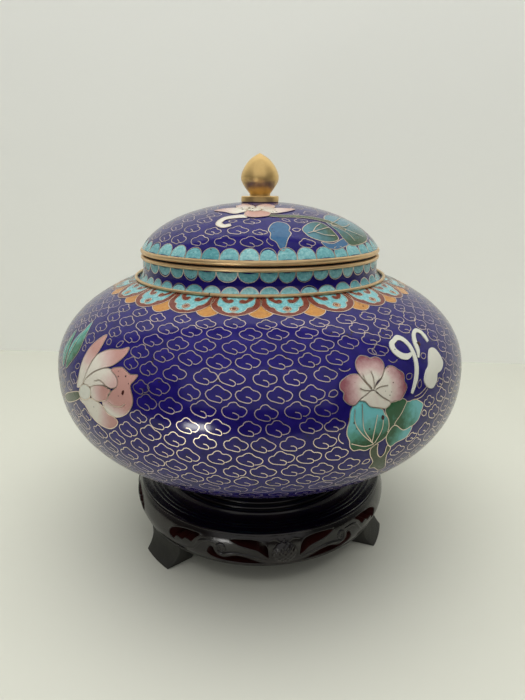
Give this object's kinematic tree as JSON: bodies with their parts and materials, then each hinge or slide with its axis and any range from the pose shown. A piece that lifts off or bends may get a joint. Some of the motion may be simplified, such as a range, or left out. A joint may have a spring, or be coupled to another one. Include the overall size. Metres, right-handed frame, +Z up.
{
  "type": "cloisonne ginger jar",
  "caption": "Squat cloisonne enamel jar with a domed lid and brass bud finial, standing on a round pierced and lacquered wooden stand with block feet.",
  "frame": {"origin": "on the floor under the middle of the jar", "axes": "+Z up along the jar's turning axis, front with the flowers towards -Y, +X to the right"},
  "size_m": [0.2, 0.2, 0.1947],
  "materials": {
    "enamel": "glossy fired enamel, cobalt blue, with brass wires",
    "brass": "satin gilt brass",
    "lacquered_wood": "glossy black-brown lacquer",
    "foot_wood": "matt dark wood"
  },
  "bodies": {
    "root": {"jar_body": "enamel", "mouth_rim_ring": "brass", "neck_base_ring": "brass", "jar_lid": "enamel", "lid_rim_ring": "brass", "lid_finial": "brass", "wooden_stand": "lacquered_wood", "stand_foot_1": "foot_wood", "stand_foot_2": "foot_wood", "stand_foot_3": "foot_wood"}
  },
  "joints": []
}
